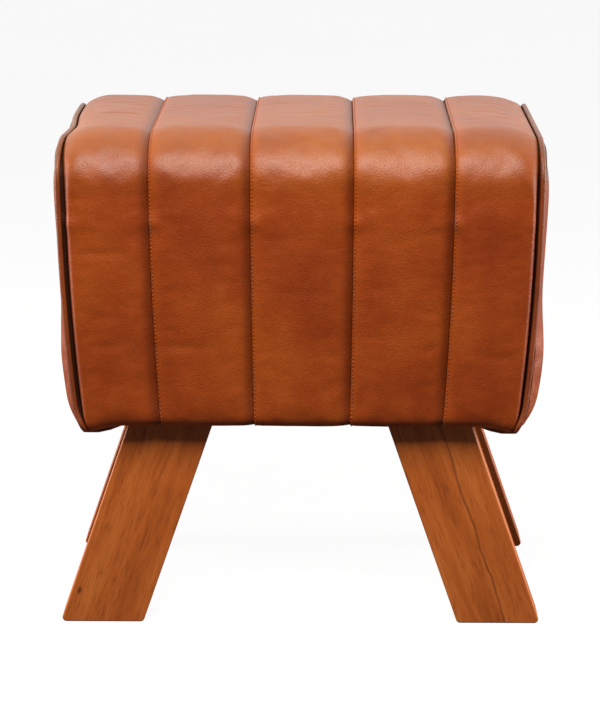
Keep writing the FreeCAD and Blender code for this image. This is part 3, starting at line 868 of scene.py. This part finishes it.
def foam_look():
    look = Look("foam")
    cells = look.cells(900)
    colour = look.ramp(cells, (0.0, (0.55, 0.42, 0.22)), (0.6, (0.80, 0.70, 0.48)))
    return look.finish(Base_Color=colour, Roughness=0.95, Normal=look.bump(cells, 0.6, 0.0006))


def thread_look():
    look = Look("thread")
    twist = look.noise(1800, 2)
    colour = look.ramp(twist, (0.35, (0.20, 0.045, 0.010)), (0.65, (0.42, 0.10, 0.025)))
    return look.finish(Base_Color=colour, Roughness=0.6, Normal=look.bump(twist, 0.5, 0.0002))


def cord_look():
    look = Look("cord")
    twist = look.noise(900, 2)
    colour = look.ramp(twist, (0.3, (0.55, 0.50, 0.40)), (0.7, (0.78, 0.74, 0.64)))
    return look.finish(Base_Color=colour, Roughness=0.8)


def steel_look():
    look = Look("zinc_steel")
    cloud = look.noise(140, 4)
    colour = look.ramp(cloud, (0.3, (0.45, 0.46, 0.48)), (0.7, (0.68, 0.68, 0.67)))
    return look.finish(Base_Color=colour, Roughness=look.range(cloud, 0.3, 0.7, 0.28, 0.5), Metallic=1.0)


def dust_cloth_look():
    look = Look("dust_cloth")
    dots = look.cells(420)
    colour = look.ramp(dots, (0.1, (0.010, 0.010, 0.011)), (0.6, (0.035, 0.034, 0.036)))
    return look.finish(Base_Color=colour, Roughness=0.9, Normal=look.bump(dots, 0.5, 0.0006))


hide = leather_look("hide", (0.26, 0.031, 0.0008), (0.345, 0.051, 0.0014), (0.42, 0.074, 0.0034), True)
# Painted reflection: the end covers' leather is a little paler and pinker than the channels' leather,
# standing in for the pale sheen that the ends catch.
sheen_painted_end_hide = leather_look("sheen_painted_end_hide", (0.26, 0.033, 0.002), (0.345, 0.055, 0.004), (0.42, 0.08, 0.008))
# Painted shade: the piping's leather is a darker copy of the channels' leather, standing in for the shade
# that the recessed piping lies in.
piping_hide = leather_look("piping_hide", (0.13, 0.022, 0.004), (0.24, 0.045, 0.008), (0.33, 0.07, 0.013))
foam = foam_look()
thread = thread_look()


# ---- The pieces ----

def made(piece, slot_name, *replaced):
    """Put a piece on the body, in place of the nodes that it replaces. slot_name is not used."""
    if replaced:
        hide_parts(*replaced)
    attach(piece, "root")
    return piece


channels = [channel_panel(number, hide) for number in range(1, 6)]
end_panels = {name: end_cover(name, side, sheen_painted_end_hide) for name, side in (("left", -1), ("right", 1))}
settle([*channels, *end_panels.values()])
for number, channel in enumerate(channels, 1):
    hide_thickness(channel)
    made(channel, "hide", f"channel_panel_{number}")
for number in range(1, 5):
    made(stitches(number, thread), "thread", f"seam_thread_{number}")
for side_name, side in (("left", -1), ("right", 1)):
    hide_thickness(end_panels[side_name])
    made(end_panels[side_name], "hide", f"end_cover_{side_name}")
    made(tube(f"piping_welt_{side_name}", pipe_path(side), PIPE_RADIUS, piping_hide), "piping_hide",
         f"piping_{side_name}", f"piping_cord_{side_name}")
    dome = made(foam_end(side_name, side, foam), "foam", f"foam_end_{side_name}")
loaf = made(foam_slab("foam_loaf", FACE_END, PATH - FACE_END, foam), "foam", "foam_top")
for name, start, end, node in (
    ("foam_sheet_front", FACE_START, FACE_END - 1 * MM, "foam_front"),
    ("foam_sheet_rear", PATH - FACE_END + 1 * MM, PATH - FACE_START, "foam_rear"),
):
    made(foam_slab(name, start, end, foam), "foam", node)


STREAK_FROM_EDGE = 29 * MM
KNOT_FROM_EDGE = 6 * MM
KNOT_UP = 32 * MM


def leg_look(name, lean):
    """A leg's wood. The front right leg has a dark streak, and the front left leg a knot near its foot."""
    turn = -lean if name.endswith("left") else lean
    seed = 1 + len(name) % 7 + (3 if "rear" in name else 0)
    low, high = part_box(name)
    streak = knot = None
    if name == "leg_front_right":
        streak = (high.x - STREAK_FROM_EDGE) * math.cos(lean)
    if name == "leg_front_left":
        edge = low.x + KNOT_FROM_EDGE
        knot = (edge * math.cos(lean), edge * math.sin(lean) + KNOT_UP)
    return wood_look(f"wood_{name}", turn, seed, streak, knot)


def finish_nodes():
    """Every CAD piece that stays gets its own material."""
    leg_low, leg_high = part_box("leg_front_left")
    lean = math.atan2(leg_high.x - leg_low.x - LEG_WIDE, leg_high.z)
    looks = {
        "panel": plain_wood_look("plywood", (0.62, 0.42, 0.22), (0.48, 0.30, 0.14), (0.2, 1, 1)),
        "block": plain_wood_look("pine", (0.72, 0.50, 0.26), (0.56, 0.34, 0.15), (1, 1, 0.1)),
        "cord": cord_look(),
        "steel": steel_look(),
        "cloth": dust_cloth_look(),
    }
    kinds = (
        ("front_panel", "panel"), ("rear_panel", "panel"), ("end_board", "panel"), ("top_board", "panel"),
        ("corner_block", "block"), ("top_batten", "block"), ("piping_cord", "cord"),
        ("leg_bolts", "steel"), ("leg_washers", "steel"), ("leg_tee_nuts", "steel"),
        ("frame_screws", "steel"), ("cover_staples", "steel"), ("dust_cover", "cloth"),
    )
    for name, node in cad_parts.items():
        look = next((looks[kind] for start, kind in kinds if name.startswith(start)), None)
        if name.startswith("leg_") and name.endswith(("left", "right")):
            look = leg_look(name, lean)
        if look is not None:
            node.data.materials.clear()
            node.data.materials.append(look)


finish_nodes()


# ---- Floor, light and camera ----

FLOOR_HALF = 6.0
FLOOR_GLOW = 0.93


def floor():
    """A pale floor with a faint shadow. It throws little light back up at the stool."""
    half = FLOOR_HALF
    corners = [(-half, -half, 0), (half, -half, 0), (half, half, 0), (-half, half, 0)]
    look = Look("floor")
    tone = look.noise(2, 2)
    colour = look.ramp(tone, (0.3, (0.09, 0.09, 0.09)), (0.7, (0.11, 0.11, 0.11)))
    colour = look.blend(look.node("LightPath").outputs["Is Glossy Ray"], colour, (0.02, 0.02, 0.02))
    glow = look.math("MULTIPLY", look.node("LightPath").outputs["Is Camera Ray"], FLOOR_GLOW)
    look.finish(Base_Color=colour, Roughness=0.9, Specular_IOR_Level=0.0, Emission_Color=(1, 1, 1, 1),
                Emission_Strength=glow)
    look.material.cycles.emission_sampling = "NONE"
    return new_object("floor", corners, [(0, 1, 2, 3)], look.material)


def softbox(name, place, target, width, height, power):
    """A rectangular lamp at a place, turned to a target."""
    light = bpy.data.lights.new(name, "AREA")
    light.shape = "RECTANGLE"
    light.color = (1.0, 0.985, 0.96)
    light.size, light.size_y = width, height
    light.energy = power
    lamp = bpy.data.objects.new(name, light)
    bpy.context.scene.collection.objects.link(lamp)
    lamp.location = place
    lamp.rotation_euler = (Vector(target) - Vector(place)).to_track_quat("-Z", "Y").to_euler()
    return lamp


KEY_PLACE = (-0.08, -0.95, 1.66)
KEY_TARGET = (0, -0.13, 0.40)
KEY_POWER = 39
SIDE_PLACE = (1.4, 0.12, 0.5)
SIDE_TARGET = (0, 0, 0.32)
SIDE_POWER = 21


def studio_light():
    """One softbox over the front and one at each side, in a room that is bright behind and dark in front."""
    world = bpy.data.worlds.new("studio")
    world.use_nodes = True
    nodes, links = world.node_tree.nodes, world.node_tree.links
    nodes.clear()

    def ranged(value, low, high, to_low, to_high):
        added = nodes.new("ShaderNodeMapRange")
        added.interpolation_type = "SMOOTHSTEP"
        for name, number in (("From Min", low), ("From Max", high), ("To Min", to_low), ("To Max", to_high)):
            added.inputs[name].default_value = number
        links.new(value, added.inputs["Value"])
        return added.outputs[0]

    def mixed(factor, first, second):
        added = nodes.new("ShaderNodeMix")
        links.new(factor, added.inputs[0])
        for socket, value in ((added.inputs[2], first), (added.inputs[3], second)):
            if isinstance(value, float):
                socket.default_value = value
            else:
                links.new(value, socket)
        return added.outputs[0]

    parts = nodes.new("ShaderNodeSeparateXYZ")
    links.new(nodes.new("ShaderNodeTexCoord").outputs["Generated"], parts.inputs[0])
    reflected = ranged(parts.outputs["Y"], -0.25, 0.5, 0.03, 1.8)
    ambient = ranged(parts.outputs["Y"], -0.4, 0.6, 0.03, 0.2)
    ray = nodes.new("ShaderNodeLightPath")
    strength = mixed(ray.outputs["Is Glossy Ray"], ambient, reflected)
    strength = mixed(ray.outputs["Is Camera Ray"], strength, 1.0)
    background = nodes.new("ShaderNodeBackground")
    links.new(strength, background.inputs["Strength"])
    links.new(background.outputs[0], nodes.new("ShaderNodeOutputWorld").inputs["Surface"])
    world.cycles.sampling_method = "NONE"
    bpy.context.scene.world = world
    softbox("key", KEY_PLACE, KEY_TARGET, 0.62, 0.72, KEY_POWER)
    for side in (-1, 1):
        softbox("side", (side * SIDE_PLACE[0], *SIDE_PLACE[1:]), SIDE_TARGET, 0.9, 0.8, SIDE_POWER)


LENS = 127.14
SENSOR = 36
EYE = (0.0284, -2.3208, 0.7920)
LOOK_DOWN = 0.244
LOOK_LEFT = 0.013


def camera():
    """The viewpoint: in front, above the seat and tilted down to it. The angles are in radians."""
    lens = bpy.data.cameras.new("camera")
    lens.lens = LENS
    lens.sensor_width = SENSOR
    lens.clip_end = 50
    eye = bpy.data.objects.new("camera", lens)
    bpy.context.scene.collection.objects.link(eye)
    eye.location = EYE
    eye.rotation_euler = (math.pi / 2 - LOOK_DOWN, 0, LOOK_LEFT)
    bpy.context.scene.camera = eye


floor()
studio_light()
camera()
bpy.context.scene.view_settings.view_transform = "Standard"
